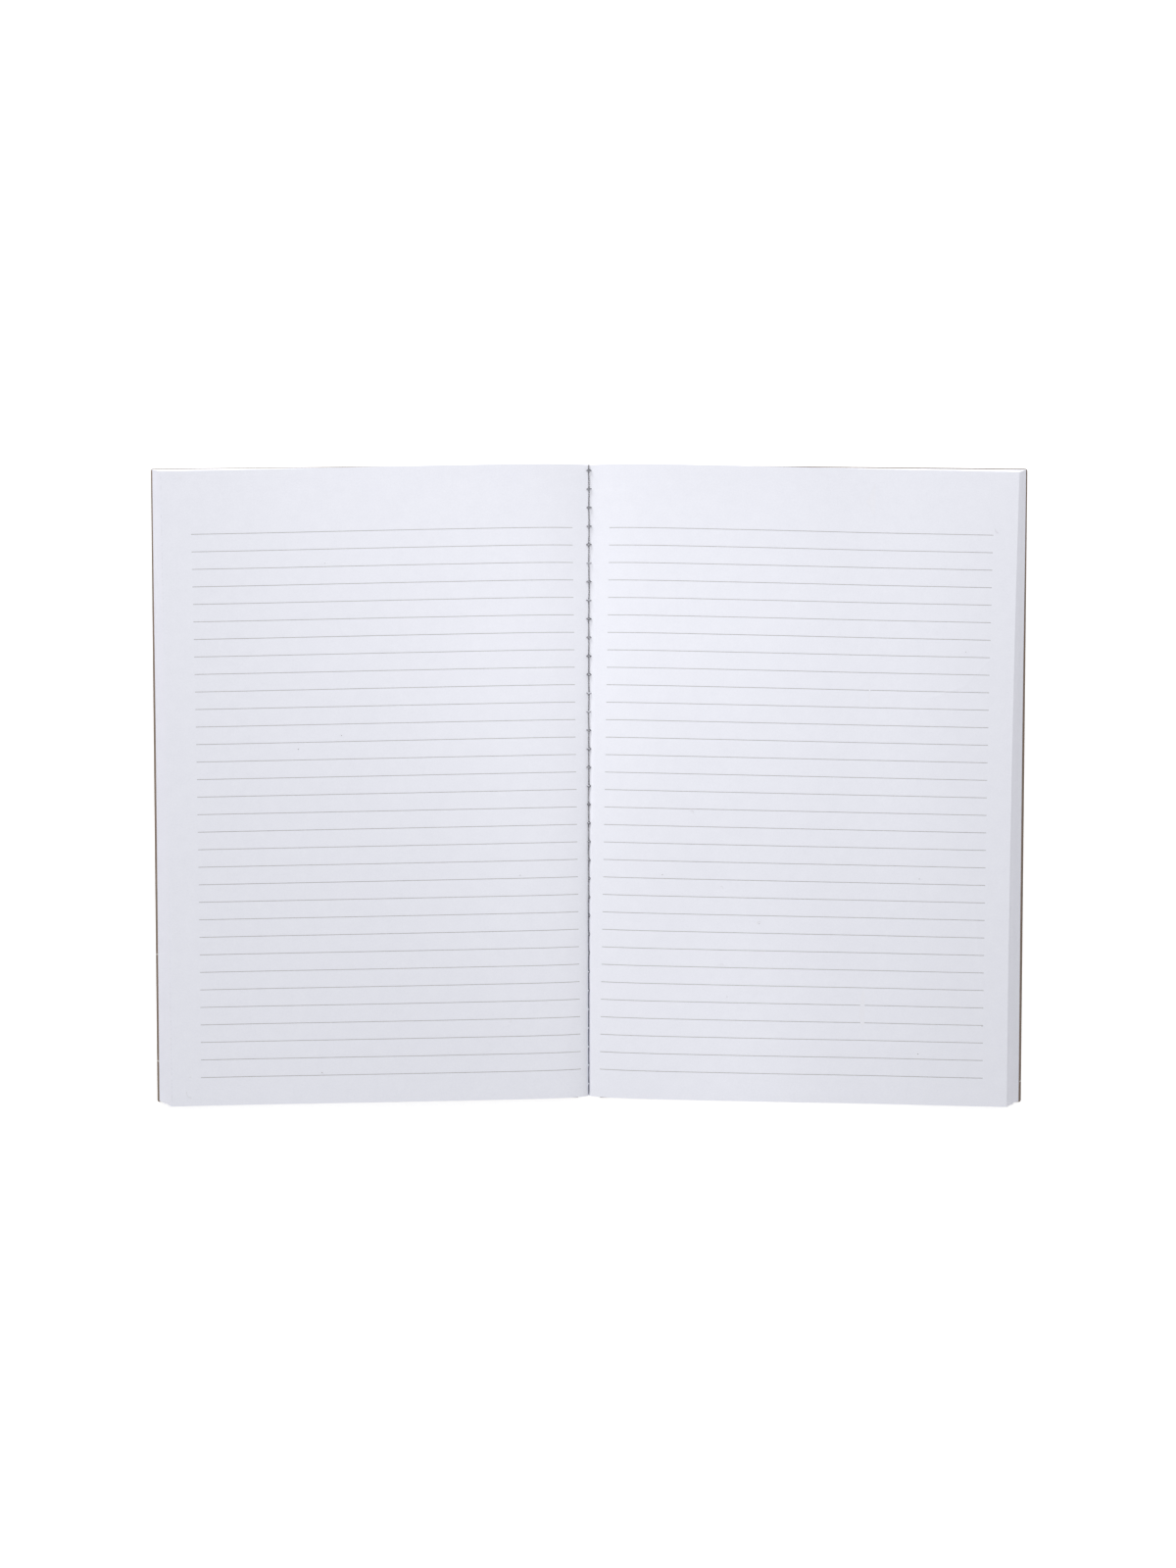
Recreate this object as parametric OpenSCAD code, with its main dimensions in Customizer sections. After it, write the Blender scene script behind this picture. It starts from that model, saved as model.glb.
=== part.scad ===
// Open composition notebook: one sewn gathering of ruled leaves, two boards and a cloth
// spine tape, lying open at its middle sheet. +X is to the right, +Y to the head of the
// page and +Z up, and the notebook stands on z = 0.

/* [Leaves] */
// Height of the leaves, from head to tail
leaf_h = 254; // [200:1:300]
// Width of the middle sheet from its fold to the fore-edge
leaf_w = 169.5; // [130:0.5:200]
// Number of leaves on each side of the fold
leaves = 40; // [24:4:56]
// Thickness of one leaf, with the air beside it
leaf_t = 0.11; // [0.08:0.01:0.14]
// Leaves that cling together and show as one step in the cut edges
cling = 4; // [2:1:8]
// How far a cut edge slopes outwards for each mm of paper below it
creep = 1.15; // [0.5:0.05:1.5]

/* [Lie of the open pages] */
// Share of the paper's thickness that is left under the stitches
squeeze = 0.78; // [0.6:0.01:1]
// Height of the pages' arch beside the fold, over their height at the fore-edge
arch_h = 2.9; // [0:0.1:6]
// Reach of the curve by which the left page climbs out of the fold
left_gutter = 11; // [4:0.5:16]
// Reach of the curve by which the right page climbs out of the fold
right_gutter = 8; // [4:0.5:16]
// Reach of the curve that takes up the turn of the leaves
pull = 3.4; // [3:0.1:8]
// Turn of the top leaves in their own plane, which opens the fold towards the head
leaf_turn = 1.45; // [0:0.05:1.6]
// Turn of the boards in their own plane
board_turn = 0.6; // [0:0.05:1.2]

/* [Boards] */
// Thickness of a board
board_t = 0.8; // [0.5:0.05:2]
// How far the boards reach past the leaves at the head and at the tail, on average
board_over = 0.6; // [0:0.1:4]
// How far the boards have slipped towards the tail
board_slip = 0.3; // [0:0.1:1]
// Gap between the two boards at mid height, under the fold
board_gap = 11.5; // [9:0.5:16]
// How far the boards' cut fore-edge slopes outwards for each mm of board
board_creep = 1.15; // [0:0.05:1.6]
// Radius of the boards' corners
corner_r = 0.8; // [0.3:0.1:10]

/* [Spine tape] */
// Width of the cloth tape that wraps the spine
tape_w = 32; // [22:1:60]
// Thickness of the cloth tape
tape_t = 0.3; // [0.15:0.05:0.6]

/* [Sewing] */
// Distance from one needle hole to the next
stitch = 7.45; // [6:0.05:12]
// Distance from the head of the fold to the first needle hole, and the least at its tail
stitch_end = 2.6; // [2:0.1:8]
// Diameter of the needle thread, which lies in the fold
needle_d = 0.7; // [0.4:0.05:0.9]
// Diameter of the bobbin thread, which lies under the spine
bobbin_d = 0.5; // [0.3:0.05:0.6]
// Free space between a thread and the paper or the thread beside it
thread_gap = 0.1; // [0.05:0.01:0.2]

/* [Hidden] */

paper_colour = [0.92, 0.92, 0.96];
board_colour = [0.56, 0.49, 0.43];
tape_colour = [0.13, 0.13, 0.14];
thread_colour = [0.36, 0.36, 0.38];

// Heights above the table. The needle thread bears on the two slopes of the fold.
lie_gap = 0.03;
board_z = tape_t;
paper_z = board_z + board_t;
paper_t = leaves * leaf_t;
fore_z = paper_z + paper_t;
bobbin_z = tape_t + bobbin_d / 2;
groove_z = tape_t + bobbin_d + thread_gap;
fold_z = groove_z + squeeze * paper_t;
needle_z = fold_z + needle_d / 2 + lie_gap;
loop_z = needle_z + needle_d / 2 + bobbin_d / 2 + thread_gap;

board_h = leaf_h + 2 * board_over;
board_w = leaf_w + creep * paper_t;
board_reach = board_w + board_creep * board_t;
board_inner = board_gap / 2;

// The notebook is set on the table with the middle of its outline over the origin
board_head = board_h / 2 * cos(board_turn) - board_inner * sin(board_turn) - board_slip;
board_tail = corner_r + (board_h / 2 - corner_r) * cos(board_turn)
    + (board_reach - corner_r) * sin(board_turn) + board_slip;
head_reach = max(leaf_h / 2, board_head);
tail_reach = max(leaf_h / 2 + leaf_w * sin(leaf_turn), board_tail);
middle_y = (tail_reach - head_reach) / 2;

// The block of leaves is a grid: columns from fore-edge to fore-edge, rows from tail to
// head, and two levels for each bundle of leaves that cling together
bundles = max(2, round(leaves / cling));
columns = 16;
rows = 4;
levels = 2 * bundles;
column_bias = 1.8;
crease_w = needle_d / 2 + thread_gap;

// Between the boards the underside of the leaves sinks to the tape. It is level again at
// the last column of the grid before the boards' nearest corner.
board_clear = 0.3;
dip_limit = board_inner - board_h / 2 * sin(board_turn) - board_clear;
dip_column = max(1, floor(columns * pow(dip_limit / leaf_w, 1 / column_bias)));
dip_end = leaf_w * pow(dip_column / columns, column_bias);
dip_start = dip_end * 0.6;

function clamp01(v) = min(1, max(0, v));
function smooth(v) = v * v * (3 - 2 * v);

// Turn and reach of a bundle, counted from the boards up
function bundle_turn(m) = board_turn + (leaf_turn - board_turn) * m / (bundles - 1);
function bundle_reach(m) = leaf_w + creep * paper_t * (1 - m / (bundles - 1));

// Share of the turn that a leaf has taken up at distance a from its fold
function taken_up(a) = 1 - exp(-max(0, a - crease_w) / pull);

// Top of the pages and underside of the block at distance a from the fold
function arch_z(a) = fore_z + arch_h * (1 + cos(180 * clamp01(a / leaf_w))) / 2;
function top_z(a, gutter) = fold_z + (arch_z(a) - fold_z) * (1 - exp(-max(0, a - crease_w) / gutter));
function under_z(a) = tape_t + board_t * smooth(clamp01((a - dip_start) / (dip_end - dip_start)));

// Distance from the fold of a column, as a share of the leaf's width
function column_share(i) = pow(abs(i - columns) / columns, column_bias);

function block_point(row, i, j) =
    let (m = floor(j / 2))
    let (turn = bundle_turn(m))
    let (crease = i == columns ? 0 : crease_w)
    let (a = max(column_share(i) * bundle_reach(m), crease))
    let (a_top = max(column_share(i) * leaf_w, crease))
    let (b = leaf_h * (row / rows - 0.5))
    let (low = under_z(a_top))
    let (high = top_z(a_top, i < columns ? left_gutter : right_gutter))
    [sign(i - columns) * (a * cos(turn) + b * sin(turn) * taken_up(a)),
     b - a * sin(turn),
     low + (high - low) * (m + j % 2) / bundles];

// The fold is one line, so neighbouring bundles share their point on it
function level_at_fold(i, j) = i == columns && j % 2 == 0 && j > 0 ? j - 1 : j;
function point_index(row, i, j) = (row * (2 * columns + 1) + i) * levels + level_at_fold(i, j);

function two_triangles(p, q, r, s) =
    [for (t = [[p, q, r], [p, r, s]]) if (t[0] != t[1] && t[1] != t[2] && t[2] != t[0]) t];
function flipped(faces) = [for (f = faces) [f[2], f[1], f[0]]];

function end_faces(row) =
    [for (i = [0 : 2 * columns - 1], j = [0 : levels - 2])
        each two_triangles(point_index(row, i, j), point_index(row, i + 1, j),
                           point_index(row, i + 1, j + 1), point_index(row, i, j + 1))];
function level_faces(j) =
    [for (row = [0 : rows - 1], i = [0 : 2 * columns - 1])
        each two_triangles(point_index(row, i, j), point_index(row, i + 1, j),
                           point_index(row + 1, i + 1, j), point_index(row + 1, i, j))];
function side_faces(i) =
    [for (row = [0 : rows - 1], j = [0 : levels - 2])
        each two_triangles(point_index(row, i, j), point_index(row, i, j + 1),
                           point_index(row + 1, i, j + 1), point_index(row + 1, i, j))];

module leaf_block() {
    polyhedron(
        points = [for (row = [0 : rows], i = [0 : 2 * columns], j = [0 : levels - 1])
            block_point(row, i, j)],
        faces = concat(
            flipped(end_faces(0)), end_faces(rows),
            level_faces(0), flipped(level_faces(levels - 1)),
            flipped(side_faces(0)), side_faces(2 * columns)),
        convexity = 8);
}

// Needle holes, spaced evenly from the head of the fold. The bobbin thread comes up
// through each one as a loop that crosses over the needle thread.
holes = floor((leaf_h - 2 * stitch_end) / stitch) + 1;
function hole_y(k) = leaf_h / 2 - stitch_end - k * stitch;
leg_x = needle_d / 2 + thread_gap + bobbin_d / 2;
hole_r = bobbin_d / 2 + thread_gap;

module needle_hole() {
    for (side = [-1, 1])
        translate([side * leg_x, 0, 0]) cylinder(h = loop_z, r = hole_r, $fn = 24);
    translate([-leg_x, -hole_r, 0]) cube([2 * leg_x, 2 * hole_r, loop_z]);
}

module page_block() {
    color(paper_colour)
    translate([0, middle_y, 0])
    difference() {
        leaf_block();
        // Groove that the bobbin thread presses into the outermost leaf
        translate([-hole_r, -leaf_h, 0]) cube([2 * hole_r, 2 * leaf_h, groove_z]);
        for (k = [0 : holes - 1]) translate([0, hole_y(k), 0]) needle_hole();
    }
}

module board_outline() {
    for (side = [-1, 1])
        translate([board_reach - corner_r, side * (board_h / 2 - corner_r)])
            circle(r = corner_r, $fn = 48);
    translate([board_inner, -board_h / 2])
        square([board_reach - corner_r - board_inner, board_h]);
    translate([board_reach - 2 * corner_r, corner_r - board_h / 2])
        square([2 * corner_r, board_h - 2 * corner_r]);
}

// Right-hand board, whose cut fore-edge slopes outwards towards its outer face

module board() {
    translate([0, middle_y - board_slip, board_z])
    rotate([0, 0, -board_turn])
    intersection() {
        rotate([90, 0, 0])
            linear_extrude(height = board_h, center = true)
            polygon([[board_inner, 0], [board_reach, 0], [board_w, board_t], [board_inner, board_t]]);
        linear_extrude(height = board_t) board_outline();
    }
}

module back_cover() {
    color(board_colour) board();
}

module front_cover() {
    color(board_colour) mirror([1, 0, 0]) board();
}

module spine_tape() {
    color(tape_colour)
    translate([-tape_w / 2, middle_y - leaf_h / 2, 0]) cube([tape_w, leaf_h, tape_t]);
}

module needle_thread() {
    color(thread_colour)
    translate([0, middle_y, needle_z])
    rotate([90, 0, 0]) cylinder(h = leaf_h, d = needle_d, center = true, $fn = 24);
}

// A round thread along a list of points, with a side vector carried from ring to ring
thread_sides = 6;
function unit(v) = v / norm(v);
function along(p, i) = unit(p[min(i + 1, len(p) - 1)] - p[max(i - 1, 0)]);
function carried(n, t) = unit(n - t * (n * t));
function side_vectors(p) =
    [for (i = 0, n = carried([1, 0.1, 0.2], along(p, 0)); i < len(p);
          i = i + 1, n = carried(n, along(p, min(i, len(p) - 1)))) n];

module thread(p, d) {
    n = side_vectors(p);
    last = (len(p) - 1) * thread_sides;
    rings = [for (i = [0 : len(p) - 1], s = [0 : thread_sides - 1])
        let (t = along(p, i), turn = 360 * s / thread_sides)
        p[i] + d / 2 * (cos(turn) * n[i] + sin(turn) * cross(t, n[i]))];
    walls = [for (i = [0 : len(p) - 2], s = [0 : thread_sides - 1])
        let (q = (s + 1) % thread_sides, r = i * thread_sides)
        [r + s, r + thread_sides + s, r + thread_sides + q, r + q]];
    ends = [[for (s = [0 : thread_sides - 1]) s],
            [for (s = [thread_sides - 1 : -1 : 0]) last + s]];
    polyhedron(points = rings, faces = concat(walls, ends), convexity = 6);
}

// One loop of the bobbin thread, up one side of a hole and down the other
slant = 0.7;
leg_low = bobbin_z + bobbin_d;
leg_high = loop_z - leg_x;
function loop_at(y) = [
    [0, y - 1.6 * bobbin_d, bobbin_z],
    [-slant * leg_x, y - 0.6 * bobbin_d, bobbin_z + 0.2 * bobbin_d],
    [-leg_x, y, leg_low],
    [-leg_x, y, leg_high],
    [-slant * leg_x, y, leg_high + slant * leg_x],
    [0, y, loop_z],
    [slant * leg_x, y, leg_high + slant * leg_x],
    [leg_x, y, leg_high],
    [leg_x, y, leg_low],
    [slant * leg_x, y + 0.6 * bobbin_d, bobbin_z + 0.2 * bobbin_d],
    [0, y + 1.6 * bobbin_d, bobbin_z]];

module bobbin_thread() {
    color(thread_colour)
    translate([0, middle_y, 0])
        thread(concat([[0, -leaf_h / 2, bobbin_z]],
                      [for (k = [holes - 1 : -1 : 0]) each loop_at(hole_y(k))],
                      [[0, leaf_h / 2, bobbin_z]]),
               bobbin_d);
}

page_block();
front_cover();
back_cover();
spine_tape();
needle_thread();
bobbin_thread();
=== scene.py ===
import math
import random

import bmesh
import bpy
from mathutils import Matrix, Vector, noise


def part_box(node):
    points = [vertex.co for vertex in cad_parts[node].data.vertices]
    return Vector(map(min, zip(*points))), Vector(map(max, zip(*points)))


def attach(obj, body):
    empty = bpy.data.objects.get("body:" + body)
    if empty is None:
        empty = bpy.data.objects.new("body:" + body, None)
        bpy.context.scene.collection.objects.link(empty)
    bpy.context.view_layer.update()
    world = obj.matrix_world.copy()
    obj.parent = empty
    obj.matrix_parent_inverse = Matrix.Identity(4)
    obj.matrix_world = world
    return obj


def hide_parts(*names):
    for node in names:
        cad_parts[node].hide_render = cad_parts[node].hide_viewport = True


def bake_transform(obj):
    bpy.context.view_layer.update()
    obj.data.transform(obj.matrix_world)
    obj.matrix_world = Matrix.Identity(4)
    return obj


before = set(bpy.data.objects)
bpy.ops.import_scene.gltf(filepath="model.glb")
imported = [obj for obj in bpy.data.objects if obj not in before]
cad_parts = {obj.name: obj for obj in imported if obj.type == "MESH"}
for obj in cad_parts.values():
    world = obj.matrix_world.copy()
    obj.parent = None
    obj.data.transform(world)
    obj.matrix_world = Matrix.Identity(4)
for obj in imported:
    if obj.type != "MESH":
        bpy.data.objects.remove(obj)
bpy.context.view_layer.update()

MM = 0.001

# Places taken from the solids
tape_low, tape_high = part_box("spine_tape")
needle_low, needle_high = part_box("needle_thread")
_, board_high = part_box("back_cover")

LEAF_H = tape_high.y - tape_low.y
MIDDLE_Y = (tape_high.y + tape_low.y) / 2
TAPE_T = tape_high.z
TAPE_W = tape_high.x - tape_low.x
PAPER_Z = board_high.z
NEEDLE_D = needle_high.x - needle_low.x
NEEDLE_Z = (needle_high.z + needle_low.z) / 2

# The left page is side -1 and the right page side 1. A value with these keys has one for each.
SIDES = (-1, 1)

# Sheets, folded in the middle. A lower leaf reaches further out, by CREEP for each mm of depth.
LEAF_W = 169.5 * MM
SHEETS = 40
SHEET_GAP = 0.11 * MM
SHEET_T = 0.085 * MM
CREEP = {-1: 1.21, 1: 1.15}

# Columns and rows of a sheet's mesh. The columns crowd towards the fold by the power CROWDING.
PAGE_COLUMNS = 34
LEAF_COLUMNS = 16
LEAF_ROWS = 10
CROWDING = 1.8

# Sheets that cling together in a bundle, how far a bundle's fan strays from an even one, and
# how far bundles and single sheets slip. The sheets in the top HELD_SHARE slip less.
BUNDLE_SHEETS = (3, 4, 5, 6, 7)
FAN_STRAY = (-0.06, 0.03)
BUNDLE_SLIP = 0.22 * MM
SHEET_SLIP = 0.05 * MM
HELD_SHARE = 1 / 6

# Turns of a leaf that lies square on its board, of the open page's lines at the head and at
# the tail, and of its fore-edge. A leaf takes up its turn over PULL, beside the crease.
BOARD_TURN = math.radians(0.6)
TOP_SLOPE = {-1: (math.radians(1.10), math.radians(1.24)), 1: (math.radians(1.21), math.radians(1.30))}
FORE_TURN = {-1: math.radians(1.20), 1: math.radians(1.25)}
PULL = 3.4 * MM

# Outline of the open page. Its fore-edge reaches out at both ends by FORE_BOW, and is cut out
# of square by TRIM_SKEW. PAGE_STRETCH is its height as a share of LEAF_H, from which the
# stitching draws it in by PUCKER. Its tail eases down towards the outer corner, by TAIL_EASE.
FORE_BOW = 0.7 * MM
TRIM_SKEW = {-1: 0.30 * MM, 1: 0.20 * MM}
PAGE_STRETCH = 1.0012
PUCKER = 0.0040
PUCKER_REACH = 8 * MM
TAIL_EASE = 0.25 * MM
TAIL_EASE_START = 110 * MM
TAIL_EASE_RUN = 17 * MM

# How far the lowest leaf lies off the open page: out at the head's outer corner, and down at
# the head and at the tail. It gets there over the share SET_SHARE of its width.
HEAD_REACH = {-1: 0.30 * MM, 1: 0.40 * MM}
HEAD_SET = {-1: 0.11 * MM, 1: 0.22 * MM}
TAIL_SET = {-1: 0.40 * MM, 1: 0.55 * MM}
SET_SHARE = 0.4

# Lean of one sheet's cut edge at the head. Points within HEAD_EDGE of the head are on it.
HEAD_LEAN = 0.045 * MM
HEAD_EDGE = 0.1 * MM

# Heights of the open page at the fore-edge and in the fold, and its arch towards the fold,
# which is higher at the tail by ARCH_TAIL
FORE_Z = PAPER_Z + SHEETS * SHEET_GAP
FOLD_Z = needle_low.z - 0.03 * MM
ARCH_H = 2.1 * MM
ARCH_TAIL = 0.4 * MM

# The page is flat in the crease under the thread, which is narrower at the tail by the share
# CREASE_DRAW. It climbs out over GUTTER, given at the head and at the tail. Towards the tail
# it also stands up beside the thread: WRAP is that rise, and the distance over which it fades.
CREASE_W = NEEDLE_D / 2 + 0.1 * MM
CREASE_DRAW = {-1: 0.0, 1: 0.8}
GUTTER = {-1: (12.65 * MM, 7.7 * MM), 1: (14.145 * MM, 11.439 * MM)}
WRAP = {-1: (0.75 * MM, 9 * MM), 1: (1.35 * MM, 4.2 * MM)}
WRAP_START = 0.3 * MM

# Where the underside of the sheets steps up from the tape to the boards
STEP_START = 2.41 * MM
STEP_END = 4.02 * MM

# Waves in the open page: height, length across and along the page, and place in the noise
WAVES = [
    (0.12 * MM, 50 * MM, 70 * MM, 3, 1.7),
    (0.05 * MM, 17 * MM, 23 * MM, 0, 9.2),
]

# Rises and hollows that run along the page: distance from the fold, half-width and height.
# They and the waves fade in over SWELL_IN beside the fold. Over SWELL_OUT at the fore-edge
# they fade again, but not to nothing.
SWELLS = {
    -1: [(75 * MM, 35 * MM, 0.35 * MM), (135 * MM, 22 * MM, -0.35 * MM)],
    1: [(112 * MM, 21 * MM, -0.75 * MM)],
}
SWELL_IN = 30 * MM
SWELL_OUT = 20 * MM
SWELL_AT_EDGE = 0.3

# Ruling: 32 lines a page, with the print a little to the right of the fold. LINE_ENDS are
# distances from the fold.
LINES = 32
LINE_PITCH = 7.01 * MM
LINE_W = 0.30 * MM
HEAD_MARGIN = 25.5 * MM
LINE_ENDS = {-1: (5.1 * MM, 157.4 * MM), 1: (6.3 * MM, 159.7 * MM)}

# Sewing: the thread lies a little to the left of the fold
THREAD_X = -0.11 * MM
STITCH = 7.45 * MM
STITCH_END = 2.6 * MM
HOLES = 34

# Needle thread: where it ends inside the head and the tail, the depth and half-width of its
# dip into a hole, each at the head and at the tail, how far it sinks into the fold, how far
# it wanders there, which is less at the tail by NEEDLE_TAUT, and how far it bows to the left
# at a hole and, added to that, between holes
NEEDLE_HEAD_IN = 0.4 * MM
NEEDLE_TAIL_IN = 0.9 * MM
NEEDLE_DIP = (0.75 * MM, 0.85 * MM)
NEEDLE_DIP_W = (0.42 * MM, 0.20 * MM)
NEEDLE_SINK = 0.12 * MM
NEEDLE_WANDER = 0.16 * MM
NEEDLE_WANDER_RUN = 4.5 * MM
NEEDLE_TAUT = 0.6
NEEDLE_BOW = (0.11 * MM, 0.12 * MM)

# Its plies: radius of a ply, radius and pitch of the twist, and how much closer and thicker
# the plies are where the thread is pulled tight
PLIES = 2
PLY_SIDES = 8
PLY_R = 0.17 * MM
TWIST_R = 0.145 * MM
TWIST_PITCH = 1.6 * MM
TWIST_STEP = 0.15 * MM
TIGHT_TWIST = 0.75
TIGHT_PLY = 0.4

# Bobbin thread: which holes, counted from the head, have a loop in sight, its far side, and a
# knot on the right. Of the far sides, BACK_SHARE are in sight. RUN_RISE is the height of the
# thread's middle line over the tape, in its run along the spine.
BOBBIN_R = 0.165 * MM
LOOP_HOLES = range(27)
BACK_HOLES = range(19)
BACK_SHARE = 0.75
KNOT_HOLES = range(15, 29)
RUN_RISE = 0.26 * MM

# Spine tape: the part over TAPE_BEND has the most columns
TAPE_H = LEAF_H - 1.2 * MM
CLOTH_T = TAPE_T * 0.98
TAPE_BEND = (3 * MM, 8.5 * MM)
TAPE_ROWS = 40

# Edges turned by more than this stay sharp, and points nearer than this become one
SHARP_EDGE = math.radians(35)
MERGE = 1e-7

rng = random.Random(7)


# Helpers

def clamp01(t):
    return min(1.0, max(0.0, t))


def smooth(t):
    t = clamp01(t)
    return t * t * (3 - 2 * t)


def mix(low, high, t):
    return low + (high - low) * t


def bell(x, centre, width):
    return math.exp(-((x - centre) / width) ** 2)


def add_object(name, bm, materials):
    """Turn a bmesh into an object at the origin, with its faces pointing outwards."""
    bmesh.ops.recalc_face_normals(bm, faces=bm.faces[:])
    mesh = bpy.data.meshes.new(name)
    bm.to_mesh(mesh)
    bm.free()
    for material in materials:
        mesh.materials.append(material)
    obj = bpy.data.objects.new(name, mesh)
    bpy.context.scene.collection.objects.link(obj)
    return obj


def smooth_shade(obj):
    """Smooth shading that keeps sharp edges crisp."""
    obj.data.polygons.foreach_set("use_smooth", [True] * len(obj.data.polygons))
    obj.data.set_sharp_from_angle(angle=SHARP_EDGE)
    return obj


# Lie of the open pages

def tailward(v):
    """0 at the head of the page and 1 at its tail."""
    return smooth(0.5 - v / LEAF_H)


def taken_up(a):
    """Share of its turn that a leaf has taken up at distance a from the fold."""
    return 1 - math.exp(-max(0.0, a - CREASE_W) / PULL)


def page_swell(side, a, v):
    """Height of the page's waves, rises and hollows. They fade out at the fold, and in part
    at the fore-edge."""
    swell = 0.0
    for height, across, along, start, layer in WAVES:
        swell += height * noise.noise(Vector((side * a / across + start, v / along, layer)))
    for centre, width, height in SWELLS[side]:
        swell += height * bell(a, centre, width)
    return swell * smooth(a / SWELL_IN) * smooth((LEAF_W - a) / SWELL_OUT + SWELL_AT_EDGE)


def top_z(side, a, v):
    """Height of the top page at distance a from the fold and v from its middle."""
    tail = tailward(v)
    near = max(0.0, a - CREASE_W * (1 - CREASE_DRAW[side] * tail))
    climb = 1 - math.exp(-near / mix(*GUTTER[side], tail))
    arch = FORE_Z + (ARCH_H + ARCH_TAIL * tail) * (1 + math.cos(math.pi * clamp01(a / LEAF_W))) / 2
    rise, fall = WRAP[side]
    wrap = rise * tail * (1 - math.exp(-near / WRAP_START)) * math.exp(-near / fall)
    return FOLD_Z + (arch - FOLD_Z) * climb + wrap + page_swell(side, a, v)


def under_z(a):
    """Height of the lowest sheet's underside at distance a from the fold."""
    return TAPE_T + (PAPER_Z - TAPE_T) * smooth((a - STEP_START) / (STEP_END - STEP_START))


def leaf_point(side, share, v, level, fan, reach):
    """Place of a point of a leaf. share is its distance from the fold as a share of the
    leaf's width, v its place from tail to head, level its height in the block, and fan its
    turn, from 0 for a leaf that lies square on its board to 1 for the open page. reach is
    the leaf's width with its creep."""
    flat = share * LEAF_W
    headward = 2 * v / LEAF_H
    bow = FORE_BOW * headward ** 2 * smooth(share) * level
    bow -= TRIM_SKEW[side] * headward * share ** 4 * level
    bow += HEAD_REACH[side] * smooth(headward) * smooth(share) * (1 - level)
    a = share * reach + bow
    low = under_z(flat)
    high = top_z(side, flat, v)
    drawn_in = PAGE_STRETCH - PUCKER * math.exp(-flat / PUCKER_REACH)
    slope = mix(BOARD_TURN, mix(*TOP_SLOPE[side], tailward(v)), fan)
    fore = mix(BOARD_TURN, FORE_TURN[side], fan)
    ease = TAIL_EASE * fan * share * smooth((-v - TAIL_EASE_START) / TAIL_EASE_RUN)
    x = side * (a * math.cos(fore) + v * math.sin(fore) * taken_up(a))
    y = v * drawn_in - ease - share * reach * math.sin(slope)
    z = low + (high - low) * level
    return Vector((x, y + MIDDLE_Y, z))


# Shader nodes

def math_node(tree, operation, a, b=None, c=None, clamp=False):
    """A Math node. a, b and c are sockets or numbers."""
    node = tree.nodes.new("ShaderNodeMath")
    node.operation = operation
    node.use_clamp = clamp
    for slot, value in enumerate((a, b, c)):
        if value is None:
            continue
        if isinstance(value, (int, float)):
            node.inputs[slot].default_value = value
        else:
            tree.links.new(value, node.inputs[slot])
    return node.outputs[0]


def vector_node(tree, operation, a, b):
    """A Vector Math node. a is a socket, and b a socket or a vector."""
    node = tree.nodes.new("ShaderNodeVectorMath")
    node.operation = operation
    tree.links.new(a, node.inputs[0])
    second = node.inputs["Scale"] if operation == "SCALE" else node.inputs[1]
    if isinstance(b, tuple):
        second.default_value = b
    else:
        tree.links.new(b, second)
    return node.outputs["Value" if operation in ("DOT_PRODUCT", "DISTANCE") else "Vector"]


def stretched(tree, value, gain, lift):
    """A value times gain plus lift, held between 0 and 1."""
    return math_node(tree, "MULTIPLY_ADD", value, gain, lift, clamp=True)


def noise_node(tree, vector, scale, detail, roughness):
    node = tree.nodes.new("ShaderNodeTexNoise")
    node.inputs["Scale"].default_value = scale
    node.inputs["Detail"].default_value = detail
    node.inputs["Roughness"].default_value = roughness
    tree.links.new(vector, node.inputs["Vector"])
    return node.outputs["Fac"]


def mix_colour(tree, factor, first, second):
    """Mix of two colours, each a socket or an RGB tuple. factor is a socket."""
    node = tree.nodes.new("ShaderNodeMix")
    node.data_type = "RGBA"
    tree.links.new(factor, node.inputs[0])
    for slot, value in ((6, first), (7, second)):
        if isinstance(value, tuple):
            node.inputs[slot].default_value = (*value, 1)
        else:
            tree.links.new(value, node.inputs[slot])
    return node.outputs[2]


def split_axes(tree, vector):
    node = tree.nodes.new("ShaderNodeSeparateXYZ")
    tree.links.new(vector, node.inputs[0])
    return node.outputs["X"], node.outputs["Y"]


def bumped(tree, height, strength, distance, normal=None):
    """A normal that a height bends, on top of another normal where one is given."""
    node = tree.nodes.new("ShaderNodeBump")
    node.inputs["Strength"].default_value = strength
    node.inputs["Distance"].default_value = distance
    tree.links.new(height, node.inputs["Height"])
    if normal is not None:
        tree.links.new(normal, node.inputs["Normal"])
    return node.outputs[0]


# Node groups

def new_group(name, inputs, outputs):
    """A shader node group with its input and output nodes. Each input is name: (kind, value),
    and each output name: kind."""
    group = bpy.data.node_groups.new(name, "ShaderNodeTree")
    for socket, (kind, value) in inputs.items():
        made = group.interface.new_socket(name=socket, in_out="INPUT", socket_type=kind)
        if value is not None:
            made.default_value = value
    for socket, kind in outputs.items():
        group.interface.new_socket(name=socket, in_out="OUTPUT", socket_type=kind)
    return group, group.nodes.new("NodeGroupInput"), group.nodes.new("NodeGroupOutput")


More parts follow.
